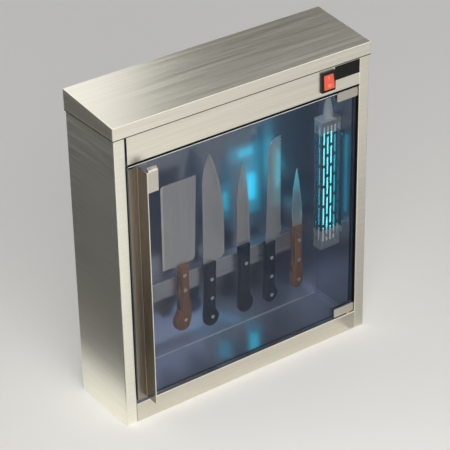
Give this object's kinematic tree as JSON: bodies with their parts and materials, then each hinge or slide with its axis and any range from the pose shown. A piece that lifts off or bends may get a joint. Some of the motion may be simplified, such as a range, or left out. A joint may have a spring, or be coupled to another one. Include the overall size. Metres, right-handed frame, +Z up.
{
  "type": "knife sterilizer cabinet",
  "caption": "Shallow stainless wall cabinet with a smoked glass door, a germicidal lamp in a slotted guard and knives hung on a magnetic bar.",
  "frame": {"origin": "middle of the cabinet's flat underside", "axes": "+X to the right seen from the front, +Y from the front to the back, +Z up"},
  "size_m": [0.559, 0.1774, 0.6159],
  "materials": {
    "brushed_stainless": "brushed, with the grain along each panel",
    "bright_stainless": "bright rolled sheet",
    "clip_stainless": "satin",
    "handle_stainless": "brushed",
    "guard_stainless": "satin",
    "fastener_steel": "bright",
    "smoked_glass": "smoked, polished, ground edges",
    "foam_tape": "matt",
    "lining_rubber": "matt",
    "bush_brass": "turned",
    "grey_plastic": "moulded",
    "magnet_black": "matt",
    "black_plastic": "moulded",
    "lit_red_plastic": "clear red, lit from inside",
    "black_plate": "satin black, bare",
    "white_plastic": "moulded",
    "white_silicone": "soft sheen",
    "lit_lamp_glass": "clear tube, glowing cyan",
    "ballast_can": "plain",
    "wire_insulation": "satin",
    "blade_steel": "finely ground",
    "wood_grip": "oiled brown hardwood",
    "black_grip": "moulded, fine texture",
    "rivet_brass": "polished",
    "rivet_steel": "polished"
  },
  "bodies": {
    "cabinet": {"left_side_panel": "brushed_stainless", "right_side_panel": "brushed_stainless", "back_panel": "bright_stainless", "floor_pan": "brushed_stainless", "fascia": "brushed_stainless", "compartment_shelf": "bright_stainless", "top_lid": "brushed_stainless", "pan_head_screws": "fastener_steel", "panel_rivets": "fastener_steel", "hinge_bushes": "bush_brass", "catch_housing": "grey_plastic", "catch_magnet": "magnet_black", "switch_frame": "black_plastic", "switch_body": "black_plastic", "switch_terminals": "bush_brass", "name_plate": "black_plate", "lamp_cage": "guard_stainless", "cage_top_plate": "white_plastic", "lamp_socket": "white_plastic", "lamp_base": "white_plastic", "lamp_tubes": "lit_lamp_glass", "lamp_support": "white_plastic", "lamp_sleeve": "white_silicone", "ballast": "ballast_can", "terminal_block": "white_plastic", "internal_wires": "wire_insulation", "interlock_body": "grey_plastic", "cable_gland": "black_plastic", "gland_nut": "black_plastic", "bar_cover": "brushed_stainless", "bar_core": "grey_plastic", "bar_magnets": "magnet_black", "bar_screws": "fastener_steel"},
    "door": {"door_glass": "smoked_glass", "door_handle": "handle_stainless", "handle_tape": "foam_tape", "top_hinge_clip": "clip_stainless", "bottom_hinge_clip": "clip_stainless", "clip_pads": "lining_rubber", "clip_screws": "fastener_steel", "hinge_pins": "fastener_steel", "strike_plate": "fastener_steel"},
    "rocker": {"switch_rocker": "lit_red_plastic"},
    "plunger": {"interlock_plunger": "grey_plastic"},
    "cleaver": {"cleaver_blade": "blade_steel", "cleaver_handle": "wood_grip", "cleaver_rivets": "rivet_brass"},
    "chef_knife": {"chef_knife_blade": "blade_steel", "chef_knife_handle": "black_grip", "chef_knife_rivets": "rivet_steel"},
    "utility_knife": {"utility_knife_blade": "blade_steel", "utility_knife_handle": "black_grip", "utility_knife_rivets": "rivet_steel"},
    "bread_knife": {"bread_knife_blade": "blade_steel", "bread_knife_handle": "black_grip", "bread_knife_rivets": "rivet_steel"},
    "paring_knife": {"paring_knife_blade": "blade_steel", "paring_knife_handle": "wood_grip", "paring_knife_rivets": "rivet_brass"}
  },
  "joints": [
    {"name": "door_hinge", "type": "hinge", "parent": "cabinet", "child": "door", "pos_m": [0.24, -0.0675, 0.28], "axis": [0, 0, 1], "range_deg": [0, 110]},
    {"name": "rocker_pivot", "type": "hinge", "parent": "cabinet", "child": "rocker", "pos_m": [0.1775, -0.076, 0.5505], "axis": [1, 0, 0], "range_deg": [0, 22]},
    {"name": "plunger_slide", "type": "slide", "parent": "cabinet", "child": "plunger", "axis": [0, -1, 0], "range_m": [0, 0.003]},
    {"name": "cleaver_off_bar", "type": "slide", "parent": "cabinet", "child": "cleaver", "axis": [0, -1, 0], "range_m": [0, 0.03]},
    {"name": "chef_knife_off_bar", "type": "slide", "parent": "cabinet", "child": "chef_knife", "axis": [0, -1, 0], "range_m": [0, 0.03]},
    {"name": "utility_knife_off_bar", "type": "slide", "parent": "cabinet", "child": "utility_knife", "axis": [0, -1, 0], "range_m": [0, 0.03]},
    {"name": "bread_knife_off_bar", "type": "slide", "parent": "cabinet", "child": "bread_knife", "axis": [0, -1, 0], "range_m": [0, 0.03]},
    {"name": "paring_knife_off_bar", "type": "slide", "parent": "cabinet", "child": "paring_knife", "axis": [0, -1, 0], "range_m": [0, 0.03]}
  ],
  "couplings": [
    {"joint": "plunger_slide", "follows": "door_hinge", "m_per_rad": 0.0015}
  ]
}
